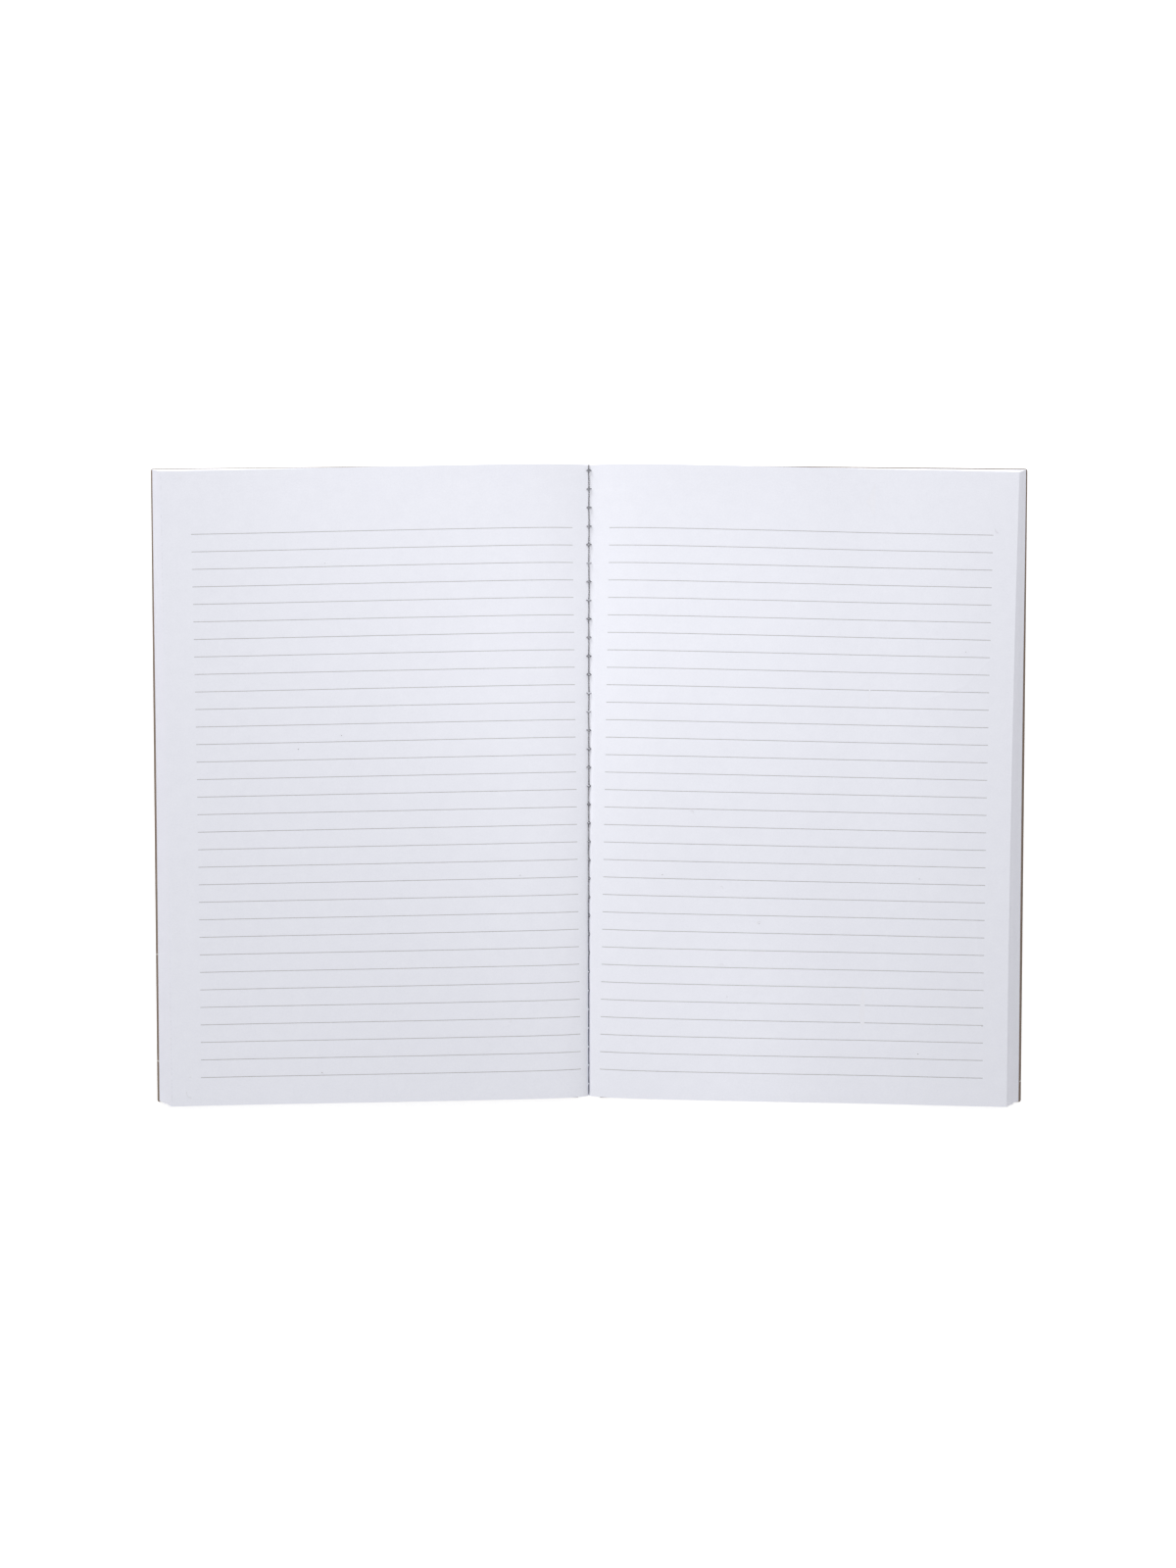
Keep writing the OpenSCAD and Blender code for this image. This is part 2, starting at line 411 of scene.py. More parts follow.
def fibre_grain_group():
    """Fine fibrous grain: a mottled value and a height, at a stated scale."""
    group, given, out = new_group(
        "fibre_grain",
        {"Vector": ("NodeSocketVector", None), "Scale": ("NodeSocketFloat", 1000.0)},
        {"Mottle": "NodeSocketFloat", "Height": "NodeSocketFloat"})
    scaled = vector_node(group, "SCALE", given.outputs["Vector"], given.outputs["Scale"])
    fine = noise_node(group, scaled, scale=1.0, detail=4.0, roughness=0.65)
    coarse = noise_node(group, scaled, scale=0.13, detail=3.0, roughness=0.5)
    mottle = math_node(group, "MULTIPLY_ADD", fine, 0.70, math_node(group, "MULTIPLY", coarse, 0.30))
    group.links.new(mottle, out.inputs["Mottle"])
    group.links.new(fine, out.inputs["Height"])
    return group


def straight_mark_group():
    """1 on a straight mark between two points in metres, fading to 0 at its width beside it."""
    group, given, out = new_group(
        "straight_mark",
        {"Vector": ("NodeSocketVector", None), "Start": ("NodeSocketVector", None),
         "End": ("NodeSocketVector", None), "Width": ("NodeSocketFloat", 0.0008)},
        {"Mask": "NodeSocketFloat"})
    flat = vector_node(group, "MULTIPLY", given.outputs["Vector"], (1, 1, 0))
    along = vector_node(group, "SUBTRACT", given.outputs["End"], given.outputs["Start"])
    away = vector_node(group, "SUBTRACT", flat, given.outputs["Start"])
    dot = vector_node(group, "DOT_PRODUCT", away, along)
    length = vector_node(group, "DOT_PRODUCT", along, along)
    share = math_node(group, "DIVIDE", dot, length, clamp=True)
    nearest = vector_node(group, "SCALE", along, share)
    gap = vector_node(group, "DISTANCE", away, nearest)
    ratio = math_node(group, "DIVIDE", gap, given.outputs["Width"])
    fall = math_node(group, "SUBTRACT", 1.0, ratio, clamp=True)
    group.links.new(math_node(group, "MULTIPLY", fall, fall), out.inputs["Mask"])
    return group


GRAIN = fibre_grain_group()
STRAIGHT_MARK = straight_mark_group()


def grain(tree, vector, scale):
    """The fibrous grain's mottle and height."""
    node = tree.nodes.new("ShaderNodeGroup")
    node.node_tree = GRAIN
    node.inputs["Scale"].default_value = scale
    tree.links.new(vector, node.inputs["Vector"])
    return node.outputs["Mottle"], node.outputs["Height"]


def mark_mask(tree, vector, marks):
    """Straight marks in one mask. Each is start, end and width, in mm."""
    total = None
    for start, end, width in marks:
        node = tree.nodes.new("ShaderNodeGroup")
        node.node_tree = STRAIGHT_MARK
        node.inputs["Start"].default_value = (start[0] * MM, start[1] * MM, 0)
        node.inputs["End"].default_value = (end[0] * MM, end[1] * MM, 0)
        node.inputs["Width"].default_value = width * MM
        tree.links.new(vector, node.inputs["Vector"])
        mask = node.outputs["Mask"]
        total = mask if total is None else math_node(tree, "MAXIMUM", total, mask)
    return total


# Materials

# Straight marks, in mm from the frame's origin: start, end and width. A bent crease is a few
# of them end to end.
CREASES = [
    ((161.3, 50.8), (151, 39.8), 1.3),
    ((151, 39.8), (137.3, 35.1), 1.3),
    ((154, -40.5), (157.7, -81), 1.6),
    ((157.7, -81), (161.2, -94), 1.4),
    ((161.2, -94), (167.5, -117.2), 1.4),
    ((-13.4, -116.6), (-5.6, -124.5), 0.8),
]
# Painted shade: a dotted grey line along the left page's fore-edge, for the tiny shadows under the top
# sheet's edge
FORE_EDGE_SHADE = [((-172.0, 125.6), (-167.3, -128.6), 0.32)]
NICKS = [
    ((-174.9, -68.3), (-173.4, -68.1), 0.45),
    ((-174.6, -111.0), (-173.0, -111.4), 0.55),
    ((173.6, -119.5), (174.6, -119.1), 0.45),
]
# The first grey is that of the painted shade along the left fore-edge
EDGE_SHADE_GREY = (0.50, 0.50, 0.52)
FLECK_PALE = (0.52, 0.48, 0.44)
NICK_PALE = (0.66, 0.64, 0.62)

# The board's pressed layers are noise at this scale along x, y and z, so they lie flat
LAYER_SCALE = (150, 150, 5200)

# Width of a thread in the cloth
WEAVE = 0.32 * MM

# Painted shade: from a place along y on towards the tail, the sewing thread is mixed into an even
# blue-grey, which stands in for the shade of the narrow groove it lies in there. Below are that
# blue-grey, the share of it mixed in, the y where it starts and the run over which it comes in.
GROOVE_SHADE_BLUE = (0.125, 0.138, 0.20)
GROOVE_SHADE_SHARE = 0.8
GROOVE_SHADE_START_Y = -30 * MM
GROOVE_SHADE_RUN = 60 * MM


def new_material(name):
    material = bpy.data.materials.new(name)
    material.use_nodes = True
    return material, material.node_tree, material.node_tree.nodes["Principled BSDF"]


def object_coordinates(tree):
    return tree.nodes.new("ShaderNodeTexCoord").outputs["Object"]


def dress(tree, shader, colour, normal, values):
    """Give a shader its colour and normal, and its other values by their sockets' names."""
    tree.links.new(colour, shader.inputs["Base Color"])
    tree.links.new(normal, shader.inputs["Normal"])
    for socket, value in values.items():
        shader.inputs[socket].default_value = value


def paper_material(name, light, dark, marked):
    """Uncoated writing paper: a cool white with a fine fibrous grain. The marked one has the open pages'
    faint creases, and a dotted grey line of painted shade along the left fore-edge, for the tiny shadows
    under the top sheet's edge there."""
    material, tree, shader = new_material(name)
    place = object_coordinates(tree)
    mottle, height = grain(tree, place, scale=1600.0)
    colour = mix_colour(tree, stretched(tree, mottle, gain=2.2, lift=-0.6), dark, light)
    creases = None
    if marked:
        specked = noise_node(tree, place, scale=900.0, detail=1.0, roughness=0.55)
        edge_shade_dots = stretched(tree, specked, gain=5.0, lift=-2.2)
        # Painted shade: dotted grey along the left fore-edge, for the tiny shadows under the top sheet's
        # edge
        line = math_node(tree, "MULTIPLY", mark_mask(tree, place, FORE_EDGE_SHADE), edge_shade_dots)
        colour = mix_colour(tree, math_node(tree, "MULTIPLY", line, 0.35), colour, EDGE_SHADE_GREY)
        creases = bumped(tree, mark_mask(tree, place, CREASES), strength=0.7, distance=0.05 * MM)
    normal = bumped(tree, height, strength=0.25, distance=0.02 * MM, normal=creases)
    dress(tree, shader, colour, normal, {"Roughness": 0.82, "Specular IOR Level": 0.22})
    return material


def board_material(name, light, dark):
    """Grey-brown pulp board, with pressed layers in its cut edges and flecks of fibre."""
    material, tree, shader = new_material(name)
    place = object_coordinates(tree)
    mottle, height = grain(tree, place, scale=900.0)
    body = mix_colour(tree, stretched(tree, mottle, gain=2.6, lift=-0.8), dark, light)
    layered = tree.nodes.new("ShaderNodeMapping")
    layered.inputs["Scale"].default_value = LAYER_SCALE
    tree.links.new(place, layered.inputs["Vector"])
    layers = noise_node(tree, layered.outputs[0], scale=1.0, detail=2.0, roughness=0.5)
    shade = math_node(tree, "MULTIPLY_ADD", layers, 0.5, 0.75)
    colour = vector_node(tree, "SCALE", body, shade)
    flecks = noise_node(tree, place, scale=2600.0, detail=2.0, roughness=0.7)
    colour = mix_colour(tree, stretched(tree, flecks, gain=9.0, lift=-6.0), colour, FLECK_PALE)
    colour = mix_colour(tree, mark_mask(tree, place, NICKS), colour, NICK_PALE)
    normal = bumped(tree, height, strength=0.5, distance=0.06 * MM)
    dress(tree, shader, colour, normal, {"Roughness": 0.9, "Specular IOR Level": 0.15})
    return material


def cloth_material(name, light, dark):
    """Dark book cloth: a plain weave on the tape's own UV map, in metres."""
    material, tree, shader = new_material(name)
    uv = tree.nodes.new("ShaderNodeUVMap")
    uv.uv_map = "UVMap"
    across, along = split_axes(tree, uv.outputs[0])
    warp = math_node(tree, "SINE", math_node(tree, "MULTIPLY", across, math.pi / WEAVE))
    weft = math_node(tree, "SINE", math_node(tree, "MULTIPLY", along, math.pi / WEAVE))
    weave = math_node(tree, "MULTIPLY_ADD", math_node(tree, "MULTIPLY", warp, weft), 0.5, 0.5)
    mottle, _ = grain(tree, uv.outputs[0], scale=700.0)
    colour = mix_colour(tree, math_node(tree, "MULTIPLY", weave, mottle, clamp=True), dark, light)
    normal = bumped(tree, weave, strength=0.6, distance=0.05 * MM)
    dress(tree, shader, colour, normal, {"Roughness": 0.72, "Sheen Weight": 0.15})
    return material


def thread_material(name, light, dark):
    """Grey spun sewing thread, lighter where its fibres stand out. Towards the tail, where it is also
    pulled tight, it is mixed into an even blue-grey: painted shade of the narrow groove it lies in there."""
    material, tree, shader = new_material(name)
    place = object_coordinates(tree)
    mottle, height = grain(tree, place, scale=2600.0)
    spun = mix_colour(tree, stretched(tree, mottle, gain=4.2, lift=-1.65), dark, light)
    _, along = split_axes(tree, place)
    # Painted shade: an even blue-grey mixed in towards the tail, for the groove the thread lies in
    tail_share = stretched(tree, along, gain=-1 / GROOVE_SHADE_RUN, lift=GROOVE_SHADE_START_Y / GROOVE_SHADE_RUN)
    colour = mix_colour(tree, math_node(tree, "MULTIPLY", tail_share, GROOVE_SHADE_SHARE), spun, GROOVE_SHADE_BLUE)
    normal = bumped(tree, height, strength=0.6, distance=0.04 * MM)
    dress(tree, shader, colour, normal, {"Roughness": 0.8, "Sheen Weight": 0.2})
    return material


def plain_material(name, light, dark, scale, roughness):
    """A mottled matte colour, for the ink, the lint and the specks."""
    material, tree, shader = new_material(name)
    mottle, height = grain(tree, object_coordinates(tree), scale)
    colour = mix_colour(tree, stretched(tree, mottle, gain=2.4, lift=-0.7), dark, light)
    normal = bumped(tree, height, strength=0.2, distance=0.02 * MM)
    dress(tree, shader, colour, normal, {"Roughness": roughness})
    return material


PAPER = paper_material("writing_paper", light=(0.854, 0.862, 0.929), dark=(0.794, 0.802, 0.871),
                       marked=True)
LEAF_PAPER = paper_material("leaf_paper", light=(0.852, 0.855, 0.912), dark=(0.802, 0.805, 0.866),
                            marked=False)
BOARD = board_material("pulp_board", light=(0.245, 0.193, 0.159), dark=(0.195, 0.149, 0.120))
CLOTH = cloth_material("book_cloth", light=(0.060, 0.060, 0.066), dark=(0.010, 0.010, 0.011))
THREAD = thread_material("sewing_thread", light=(0.37, 0.37, 0.40), dark=(0.080, 0.081, 0.094))
# Painted highlight: the needle thread's second ply is a paler copy of the thread, for the light and dark
# along its twist
THREAD_HIGHLIGHT = thread_material("sewing_thread_painted_highlight", light=(0.52, 0.52, 0.55), dark=(0.16, 0.16, 0.18))
INK = plain_material("ruling_ink", light=(0.575, 0.57, 0.585), dark=(0.385, 0.38, 0.395),
                     scale=2600.0, roughness=0.85)
LINT = plain_material("lint", light=(0.74, 0.73, 0.74), dark=(0.60, 0.59, 0.59),
                      scale=3000.0, roughness=0.9)
SPECK = plain_material("dark_speck", light=(0.21, 0.185, 0.165), dark=(0.13, 0.115, 0.10),
                       scale=3000.0, roughness=0.9)


# Pages

def even_between(low, high, count):
    """Even steps from low up to, but without, high."""
    return [low + (high - low) * i / count for i in range(count)]


def page_columns(count):
    """Columns of a sheet from fore-edge to fore-edge, as shares of a leaf's width. They are
    closest together at the fold."""
    shares = [(i / count) ** CROWDING for i in range(count + 1)]
    return [-share for share in reversed(shares[1:])] + shares


def sheet_grid(columns, rows):
    """A flat grid whose vertices sit at the given columns (x) and rows (y)."""
    bm = bmesh.new()
    bmesh.ops.create_grid(bm, x_segments=len(columns) - 1, y_segments=len(rows) - 1, size=0.5)
    for vert in bm.verts:
        column = round((vert.co.x + 0.5) * (len(columns) - 1))
        row = round((vert.co.y + 0.5) * (len(rows) - 1))
        vert.co = (columns[column], rows[row], 0)
    return bm


def thicken(bm):
    """Give a flat sheet its underside. Returns the underside's vertices."""
    upper = bmesh.ops.extrude_face_region(bm, geom=bm.faces[:])["geom"]
    return set(bm.verts) - set(upper)


def lay_sheet(bm, under, place):
    """Lay a flat sheet in the block. place gives the upper side's points. The cut edge at
    the head leans out a little towards the underside, as the knife leaves it."""
    for vert in bm.verts:
        side = 1 if vert.co.x >= 0 else -1
        at_head = vert.co.y > LEAF_H / 2 - HEAD_EDGE
        share = abs(vert.co.x)
        point = place(side, share, vert.co.y)
        if vert in under:
            point.z -= SHEET_T
            if at_head:
                point.y += HEAD_LEAN * share
        vert.co = point


def line_v(k):
    """Place of a ruled line along the page, counted from the head."""
    return LEAF_H / 2 - HEAD_MARGIN - k * LINE_PITCH


def on_line(centre):
    """Whether a point of the flat sheet lies on a ruled line."""
    start, stop = LINE_ENDS[1 if centre.x > 0 else -1]
    k = round((line_v(0) - centre.y) / LINE_PITCH)
    if not 0 <= k < LINES or abs(centre.y - line_v(k)) >= LINE_W / 2:
        return False
    return start < abs(centre.x) * LEAF_W < stop


def middle_sheet():
    """The sheet that shows, ruled on both pages. The lines are faces of its own surface."""
    left_in, left_out = LINE_ENDS[-1]
    right_in, right_out = LINE_ENDS[1]
    columns = page_columns(PAGE_COLUMNS)
    for stop in (-left_out, -left_in, right_in, right_out):
        nearest = min(range(1, len(columns) - 1), key=lambda i: abs(columns[i] * LEAF_W - stop))
        columns[nearest] = stop / LEAF_W
    rows = even_between(-LEAF_H / 2, line_v(LINES) + LINE_PITCH / 2, 3)
    for k in range(LINES - 1, -1, -1):
        line = line_v(k)
        rows += [line - LINE_W / 2, line + LINE_W / 2, line + LINE_PITCH / 2]
    rows += even_between(rows[-1], LEAF_H / 2, 5)[1:] + [LEAF_H / 2]
    bm = sheet_grid(columns, rows)
    for face in bm.faces:
        face.material_index = 1 if on_line(face.calc_center_median()) else 0
    under = thicken(bm)
    for face in bm.faces:
        if any(vert in under for vert in face.verts):
            face.material_index = 0
    lay_sheet(bm, under, lambda side, share, v: leaf_point(side, share, v, 1.0, 1.0, LEAF_W))
    return smooth_shade(add_object("middle_sheet", bm, [PAPER, INK]))


def bundle_sizes(total):
    """Sheets that cling together, a few at a time, counted from the boards up."""
    sizes = []
    while sum(sizes) < total:
        sizes.append(min(rng.choice(BUNDLE_SHEETS), total - sum(sizes)))
    return sizes


def lower_sheet(level, fans, slips):
    """The mesh of one sheet under the middle one, at its level in the block. fans and slips
    are its leaves' turns at the tail and their slips outwards."""
    depth = SHEETS * SHEET_GAP * (1 - level)
    loose = min(1, (1 - level) / HELD_SHARE)
    reach = {side: LEAF_W + CREEP[side] * depth + slips[side] * loose for side in SIDES}

    def place(side, share, v):
        fan = mix(level, fans[side], tailward(v))
        point = leaf_point(side, share, v, level, fan, reach[side])
        below = mix(HEAD_SET[side] * (1 - level), TAIL_SET[side] * (1 - level) ** 2, tailward(v))
        point.y -= below * smooth(share / SET_SHARE)
        return point

    rows = even_between(-LEAF_H / 2, LEAF_H / 2, LEAF_ROWS) + [LEAF_H / 2]
    bm = sheet_grid(page_columns(LEAF_COLUMNS), rows)
    lay_sheet(bm, thicken(bm), place)
    bmesh.ops.recalc_face_normals(bm, faces=bm.faces[:])
    mesh = bpy.data.meshes.new("sheet")
    bm.to_mesh(mesh)
    bm.free()
    return mesh


def lower_sheets():
    """The sheets under the middle one, fanned in bundles."""
    block = bmesh.new()
    sizes = bundle_sizes(SHEETS - 1)
    laid = 0
    for bundle, size in enumerate(sizes):
        share_up = bundle / (len(sizes) - 1)
        fans = {side: clamp01(share_up + rng.uniform(*FAN_STRAY)) for side in SIDES}
        bundle_slips = {side: rng.uniform(-BUNDLE_SLIP, BUNDLE_SLIP) for side in SIDES}
        for _ in range(size):
            laid += 1
            slips = {side: bundle_slips[side] + rng.uniform(-SHEET_SLIP, SHEET_SLIP) for side in SIDES}
            mesh = lower_sheet(laid / SHEETS, fans, slips)
            block.from_mesh(mesh)
            bpy.data.meshes.remove(mesh)
    return smooth_shade(add_object("lower_sheets", block, [LEAF_PAPER]))


# Sewing

def along_holes(k, first, count, start, end):
    """A length at hole k that goes from start to end, both in mm, over count holes."""
    return mix(start, end, smooth((k - first) / count)) * MM


def hole_y(k):
    """Place of a needle hole, counted from the head. The last few are set further apart."""
    further = along_holes(k, first=23, count=8, start=0, end=0.5)
    return MIDDLE_Y + LEAF_H / 2 - STITCH_END - k * STITCH - further


def needle_path(y):
    """Place of the needle thread's middle at y. It dips into each needle hole, wanders in
    the fold and, towards the tail, bows to the left from hole to hole."""
    k = round((hole_y(0) - y) / STITCH)
    gap = abs(y - hole_y(min(HOLES - 1, max(0, k))))
    tail = tailward(y - MIDDLE_Y)
    dip = mix(*NEEDLE_DIP, tail) * bell(gap, 0, mix(*NEEDLE_DIP_W, tail))
    stray = noise.noise(Vector((0.3, y / NEEDLE_WANDER_RUN, 4.4)))
    wander = NEEDLE_WANDER * (1 - NEEDLE_TAUT * tail) * stray
    at_hole, between = NEEDLE_BOW
    bow = (at_hole + between * math.sin(math.pi * clamp01(gap / STITCH))) * tail
    return Vector((THREAD_X + wander - bow, y, NEEDLE_Z - dip - NEEDLE_SINK))


def needle_thread():
    """The twisted needle thread. Each ply is a grid rolled into a tube, screwed round the
    thread's middle line and laid on its path. It is pulled tighter towards the tail."""
    start = MIDDLE_Y - LEAF_H / 2 + NEEDLE_TAIL_IN
    stop = MIDDLE_Y + LEAF_H / 2 - NEEDLE_HEAD_IN
    steps = round((stop - start) / TWIST_STEP)
    bm = bmesh.new()
    for ply in range(PLIES):
        made = bmesh.ops.create_grid(bm, x_segments=PLY_SIDES, y_segments=steps, size=0.5)["verts"]
        for vert in made:
            around = 2 * math.pi * (vert.co.x + 0.5)
            y = start + (stop - start) * (vert.co.y + 0.5)
            turn = 2 * math.pi * (ply / PLIES + (y - start) / TWIST_PITCH)
            place = needle_path(y)
            tail_share = tailward(y - MIDDLE_Y)
            lay = TWIST_R * (1 - TIGHT_TWIST * tail_share)
            thick = PLY_R * (1 + TIGHT_PLY * tail_share)
            vert.co = (place.x + lay * math.cos(turn) + thick * math.cos(around), y,
                       place.z + lay * math.sin(turn) + thick * math.sin(around))
            # The second ply gets the paler thread: painted highlight for the light and dark of the twist
            for face in vert.link_faces:
                face.material_index = ply
    bmesh.ops.remove_doubles(bm, verts=bm.verts[:], dist=MERGE)
    bmesh.ops.holes_fill(bm, edges=[edge for edge in bm.edges if edge.is_boundary], sides=0)
    return smooth_shade(add_object("needle_thread_twisted", bm, [THREAD, THREAD_HIGHLIGHT]))


def tube(name, paths, radius, material):
    """Round strands along lists of points, made as curves and turned into one mesh."""
    curve = bpy.data.curves.new(name, "CURVE")
    curve.dimensions = "3D"
    curve.bevel_depth = radius
    curve.bevel_resolution = 2
    curve.use_fill_caps = True
    for path in paths:
        spline = curve.splines.new("NURBS")
        spline.points.add(len(path) - 1)
        for point, place in zip(spline.points, path):
            point.co = (*place, 1)
        spline.use_endpoint_u = True
        spline.order_u = 3
        spline.resolution_u = 3
    holder = bpy.data.objects.new(name, curve)
    bpy.context.scene.collection.objects.link(holder)
    bpy.context.view_layer.update()
    made = bpy.data.meshes.new_from_object(holder.evaluated_get(bpy.context.evaluated_depsgraph_get()))
    bpy.data.objects.remove(holder)
    bpy.data.curves.remove(curve)
    bm = bmesh.new()
    bm.from_mesh(made)
    bpy.data.meshes.remove(made)
    bmesh.ops.remove_doubles(bm, verts=bm.verts[:], dist=MERGE)
    return smooth_shade(add_object(name, bm, [material]))


def stitch_loop(k):
    """One loop of the bobbin thread round the needle thread at hole k: up through the paper
    at one side, over in a point, and down at the other side. Towards the tail the loops are
    pulled in, first on the left."""
    y = hole_y(k)
    left = along_holes(k, first=15, count=8, start=1.0, end=0.22) * rng.uniform(0.88, 1.08)
    right = along_holes(k, first=18, count=9, start=1.0, end=0.55) * rng.uniform(0.88, 1.08)
    tall = 0.55 * MM * rng.uniform(0.3, 1.0)
    lift = FOLD_Z + along_holes(k, first=20, count=10, start=0.45, end=0.15)
    lean = rng.uniform(-0.15, 0.15) * MM
    return [
        (-left, y + lean, lift - 0.9 * MM),
        (-left, y + lean, lift - 0.05 * MM),
        (-left * 0.62, y - tall * 0.45, lift + 0.20 * MM),
        (lean + (right - left) * 0.3, y - tall, lift + 0.26 * MM),
        (right * 0.62, y - tall * 0.45, lift + 0.20 * MM),
        (right, y - lean, lift - 0.05 * MM),
        (right, y - lean, lift - 0.9 * MM),
    ]


def back_strand(k):
    """The far side of a loop, behind the needle thread."""
    y = hole_y(k)
    wide = 0.58 * MM * rng.uniform(0.8, 1.1)
    tall = 0.55 * MM * rng.uniform(0.5, 1.1)
    lift = FOLD_Z + 0.40 * MM
    return [
        (-wide * 1.7, y, lift - 0.3 * MM),
        (-wide, y + tall * 0.4, lift),
        (0, y + tall, lift + 0.10 * MM),
        (wide, y + tall * 0.4, lift),
        (wide * 1.7, y, lift - 0.3 * MM),
    ]


def right_knot(k):
    """A tight turn of the bobbin thread that shows only on the right of the needle thread."""
    y = hole_y(k) + along_holes(k, first=22, count=6, start=0, end=0.15)
    out = along_holes(k, first=24, count=6, start=0.54, end=0.34)
    tall = along_holes(k, first=24, count=6, start=0.62, end=0.45)
    lift = FOLD_Z + along_holes(k, first=24, count=6, start=0.42, end=0.22)
    return [
        (0.05 * MM, y + tall * 1.1, lift - 0.1 * MM),
        (out * 0.8, y + tall * 0.6, lift + 0.05 * MM),
        (out, y - tall * 0.1, lift + 0.05 * MM),
        (out * 0.7, y - tall * 0.7, lift),
        (0.0, y - tall, lift - 0.2 * MM),
    ]


def spine_run(points=13):
    """The bobbin thread's run along the spine, under the sheets, from tail to head."""
    length = LEAF_H * 0.998
    z = TAPE_T + RUN_RISE
    return [(0, MIDDLE_Y + length * (i / (points - 1) - 0.5), z) for i in range(points)]


def bobbin_thread():
    """The bobbin thread: its loops in the fold and its run along the spine."""
    paths = []
    for k in range(HOLES):
        if k in LOOP_HOLES:
            paths.append(stitch_loop(k))
        if k in BACK_HOLES and rng.random() < BACK_SHARE:
            paths.append(back_strand(k))
        if k in KNOT_HOLES:
            paths.append(right_knot(k))
    paths.append(spine_run())
    paths = [[(x + THREAD_X, y, z) for x, y, z in path] for path in paths]
    return tube("bobbin_thread_loops", paths, BOBBIN_R, THREAD)


# Spine tape

def tape_half(side, cover):
    """Half of the cloth tape, from the spine's middle to its edge on one board."""
    outer = TAPE_W / 2
    bend_start, bend_end = TAPE_BEND
    columns = even_between(0, bend_start, 4) + even_between(bend_start, bend_end, 24)
    columns += even_between(bend_end, outer, 10) + [outer]
    rows = even_between(-TAPE_H / 2, TAPE_H / 2, TAPE_ROWS) + [TAPE_H / 2]
    bm = sheet_grid(columns, rows)
    layer = bm.loops.layers.uv.new("UVMap")
    for face in bm.faces:
        for loop in face.loops:
            loop[layer].uv = (side * loop.vert.co.x, loop.vert.co.y)
    for vert in bm.verts:
        vert.co = (side * vert.co.x, vert.co.y + MIDDLE_Y, TAPE_T / 2)
    bmesh.ops.recalc_face_normals(bm, faces=bm.faces[:])
    bmesh.ops.solidify(bm, geom=bm.faces[:], thickness=CLOTH_T)
    low = min(vert.co.z for vert in bm.verts)
    bmesh.ops.translate(bm, verts=bm.verts[:], vec=(0, 0, -low))
    piece = add_object(f"spine_tape_{cover}", bm, [CLOTH])
    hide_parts("spine_tape")
    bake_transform(piece)


# Dust

# Short curled fibres that lie on the open pages: x, y and length in mm, direction in degrees
# and curl in degrees
FIBRES = [
    (-31.9, -94.9, 2.6, 20, 200),
    (41.6, -11.2, 2.2, 70, 160),
    (53.8, -72.1, 2.0, 110, 190),
    (52.6, -40.6, 1.8, 30, -170),
    (68.7, -54.8, 2.1, 150, 150),
    (-161.4, -123.0, 3.7, -102, 115),
    (-160.2, -117.3, 0.7, 20, 80),
    (-164.5, 123.3, 0.6, -40, 60),
    (163.0, 102.9, 2.4, -92, 85),
]
FIBRE_R = 0.05 * MM
FIBRE_LOW = 0.04 * MM
FIBRE_ARCH = 0.05 * MM

# Dark specks on the open pages: x, y and length in mm
SPECKS = [
    (131.7, -107.9, 0.46), (-116.8, 14.4, 0.40), (-107.3, -115.3, 0.44), (132.3, -37.7, 0.34),
    (-27.7, -36.1, 0.28), (-106.0, 88.9, 0.28), (55.1, -84.8, 0.26), (157.5, -96.8, 0.26),
    (29.2, -35.9, 0.24), (-99.3, 19.9, 0.22), (151.1, 53.4, 0.20), (68.1, -55.5, 0.20),
]
SPECK_R = 0.08 * MM
SPECK_HEADING = 15


def page_height(x, y):
    """Height of the open page under a point of the frame."""
    side = 1 if x >= 0 else -1
    return top_z(side, abs(x), y - MIDDLE_Y)


def fibre_path(x, y, length, heading, curl, points=9):
    """Points of a fibre that lies on the page. Lengths are in mm, and angles in degrees."""
    path = []
    angle = math.radians(heading)
    step = length / (points - 1)
    for i in range(points):
        lift = FIBRE_LOW + FIBRE_ARCH * math.sin(math.pi * i / (points - 1))
        path.append((x * MM, y * MM, page_height(x * MM, y * MM) + lift))
        x += step * math.cos(angle)
        y += step * math.sin(angle)
        angle += math.radians(curl) / (points - 1)
    return path


def lint():
    return tube("lint_fibres", [fibre_path(*facts) for facts in FIBRES], FIBRE_R, LINT)


def specks():
    paths = [fibre_path(x, y, length, SPECK_HEADING, 0, points=3) for x, y, length in SPECKS]
    return tube("dark_specks", paths, SPECK_R, SPECK)


# Build the notebook

def finish_piece(piece, slot, body, *nodes):
    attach(piece, body)
    if nodes:
        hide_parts(*nodes)


finish_piece(middle_sheet(), "paper", "text_block", "page_block")
finish_piece(lower_sheets(), "paper", "text_block", "page_block")
finish_piece(needle_thread(), "thread", "text_block", "needle_thread")
finish_piece(bobbin_thread(), "thread", "text_block", "bobbin_thread")
finish_piece(lint(), "paper", "text_block")
finish_piece(specks(), "paper", "text_block")
tape_half(-1, "front_cover")
tape_half(1, "back_cover")
for cover in ("front_cover", "back_cover"):
    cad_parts[cover].material_slots[0].material = BOARD


# Studio

# Floor: half its width, its height, just under the notebook, its colour, its glow to the
# camera, and how near to it light has to land to pass through
FLOOR_HALF = 2.5
FLOOR_Z = -0.1 * MM
FLOOR_WHITE = (0.80, 0.80, 0.80, 1)
FLOOR_GLOW = 0.60
CLEAR_WITHIN = 3 * MM

# World: its colour, and its strength as light
WORLD_WHITE = (1, 1, 1, 1)
WORLD_STRENGTH = 0.594

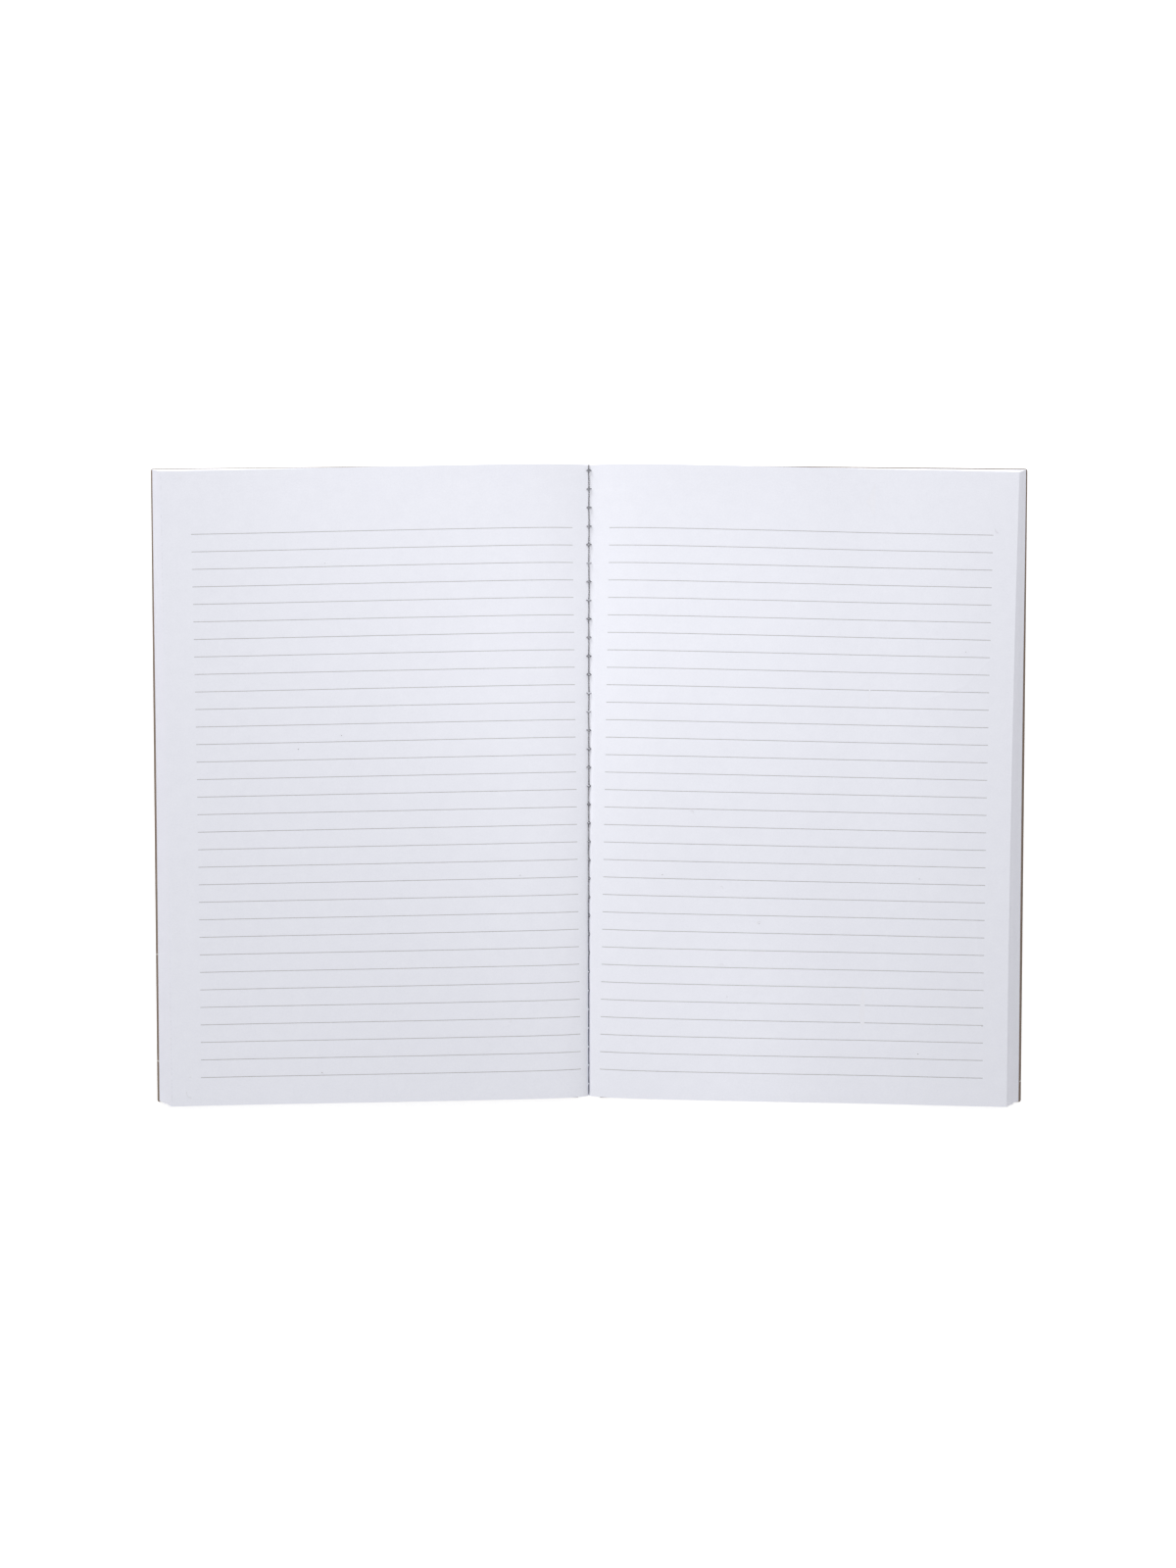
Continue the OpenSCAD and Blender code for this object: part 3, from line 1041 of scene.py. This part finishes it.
# Soft lamps that face the notebook: place and size in metres, and power in watts
SOFT_LIGHTS = [
    ("window", (-1.0, 2.0, 0.5), 0.8, 32),
    ("ceiling", (-0.1, 1.0, 1.4), 0.35, 6.3),
]

# Pools of light on the pages: x, y and radius in metres, and power in watts. Each lamp's cone
# is wider than its pool by POOL_SPREAD.
POOLS = [
    ("pool_middle", 0.042, 0.0, 0.115, 4.0),
    ("pool_head", 0.04, 0.165, 0.165, 4.0),
    ("pool_left", -0.088, 0.075, 0.085, 1.4),
    ("pool_tail", 0.058, -0.12, 0.05, 5.0),
]
POOL_HEIGHT = 1.2
POOL_SPREAD = 1.25
POOL_BLEND = 0.9
POOL_SOFTNESS = 0.05

# Camera: straight above, a metre over the table
CAMERA_PLACE = (-0.45 * MM, 0.45 * MM, 1.0)
CAMERA_SENSOR = 36
CAMERA_LENS = 56.9
CAMERA_CLIP = 0.01


def seen_ray(tree, path):
    """1 for what the camera sees, also by a reflection or through something clear."""
    seen = math_node(tree, "MAXIMUM", path.outputs["Is Camera Ray"], path.outputs["Is Glossy Ray"])
    return math_node(tree, "MAXIMUM", seen, path.outputs["Is Transmission Ray"])


def floor_material():
    """White to the camera, with the notebook's soft shadow, and clear from below. It is also
    clear to light that lands within a few mm of it, so the notebook's underside is lit."""
    material, tree, shader = new_material("studio_white")
    tree.nodes.remove(shader)
    diffuse = tree.nodes.new("ShaderNodeBsdfDiffuse")
    diffuse.inputs["Color"].default_value = FLOOR_WHITE
    glow = tree.nodes.new("ShaderNodeEmission")
    path = tree.nodes.new("ShaderNodeLightPath")
    tree.links.new(math_node(tree, "MULTIPLY", seen_ray(tree, path), FLOOR_GLOW), glow.inputs["Strength"])
    lit = tree.nodes.new("ShaderNodeAddShader")
    tree.links.new(diffuse.outputs[0], lit.inputs[0])
    tree.links.new(glow.outputs[0], lit.inputs[1])
    clear = tree.nodes.new("ShaderNodeBsdfTransparent")
    below = tree.nodes.new("ShaderNodeNewGeometry").outputs["Backfacing"]
    light = math_node(tree, "MAXIMUM", path.outputs["Is Diffuse Ray"], path.outputs["Is Shadow Ray"])
    close = math_node(tree, "LESS_THAN", path.outputs["Ray Length"], CLEAR_WITHIN)
    through = math_node(tree, "MAXIMUM", below, math_node(tree, "MULTIPLY", light, close))
    whole = tree.nodes.new("ShaderNodeMixShader")
    tree.links.new(through, whole.inputs[0])
    tree.links.new(lit.outputs[0], whole.inputs[1])
    tree.links.new(clear.outputs[0], whole.inputs[2])
    tree.links.new(whole.outputs[0], tree.nodes["Material Output"].inputs["Surface"])
    return material


def studio_floor():
    bm = bmesh.new()
    bmesh.ops.create_grid(bm, x_segments=2, y_segments=2, size=FLOOR_HALF)
    bmesh.ops.translate(bm, verts=bm.verts[:], vec=(0, 0, FLOOR_Z))
    floor = add_object("studio_floor", bm, [floor_material()])
    if floor.data.polygons[0].normal.z < 0:
        floor.data.flip_normals()


def add_lamp(name, kind, place, power):
    """A lamp with its object, which looks straight down until it is turned."""
    lamp = bpy.data.lights.new(name, kind)
    lamp.energy = power
    holder = bpy.data.objects.new(name, lamp)
    holder.location = place
    bpy.context.scene.collection.objects.link(holder)
    return lamp, holder


def soft_light(name, place, size, power):
    """A round soft lamp that faces the notebook."""
    lamp, holder = add_lamp(name, "AREA", place, power)
    lamp.shape = "DISK"
    lamp.size = size
    holder.rotation_euler = (-Vector(place)).to_track_quat("-Z", "Y").to_euler()


def pool_of_light(name, x, y, radius, power):
    """A soft-edged pool of light from straight above."""
    lamp, _ = add_lamp(name, "SPOT", (x, y, POOL_HEIGHT), power)
    lamp.spot_size = 2 * math.atan(POOL_SPREAD * radius / POOL_HEIGHT)
    lamp.spot_blend = POOL_BLEND
    lamp.shadow_soft_size = POOL_SOFTNESS


def studio_world():
    """An even light from all round, which is white to the camera."""
    world = bpy.data.worlds.new("studio_world")
    world.use_nodes = True
    tree = world.node_tree
    back = tree.nodes["Background"]
    seen = seen_ray(tree, tree.nodes.new("ShaderNodeLightPath"))
    strength = math_node(tree, "MULTIPLY_ADD", seen, 1.0 - WORLD_STRENGTH, WORLD_STRENGTH)
    tree.links.new(strength, back.inputs["Strength"])
    back.inputs["Color"].default_value = WORLD_WHITE
    bpy.context.scene.world = world


def camera():
    data = bpy.data.cameras.new("camera")
    data.sensor_width = CAMERA_SENSOR
    data.lens = CAMERA_LENS
    data.clip_start = CAMERA_CLIP
    holder = bpy.data.objects.new("camera", data)
    holder.location = CAMERA_PLACE
    bpy.context.scene.collection.objects.link(holder)
    bpy.context.scene.camera = holder


studio_floor()
for name, place, size, power in SOFT_LIGHTS:
    soft_light(name, place, size, power)
for name, x, y, radius, power in POOLS:
    pool_of_light(name, x, y, radius, power)
studio_world()
camera()
bpy.context.scene.view_settings.view_transform = "Standard"
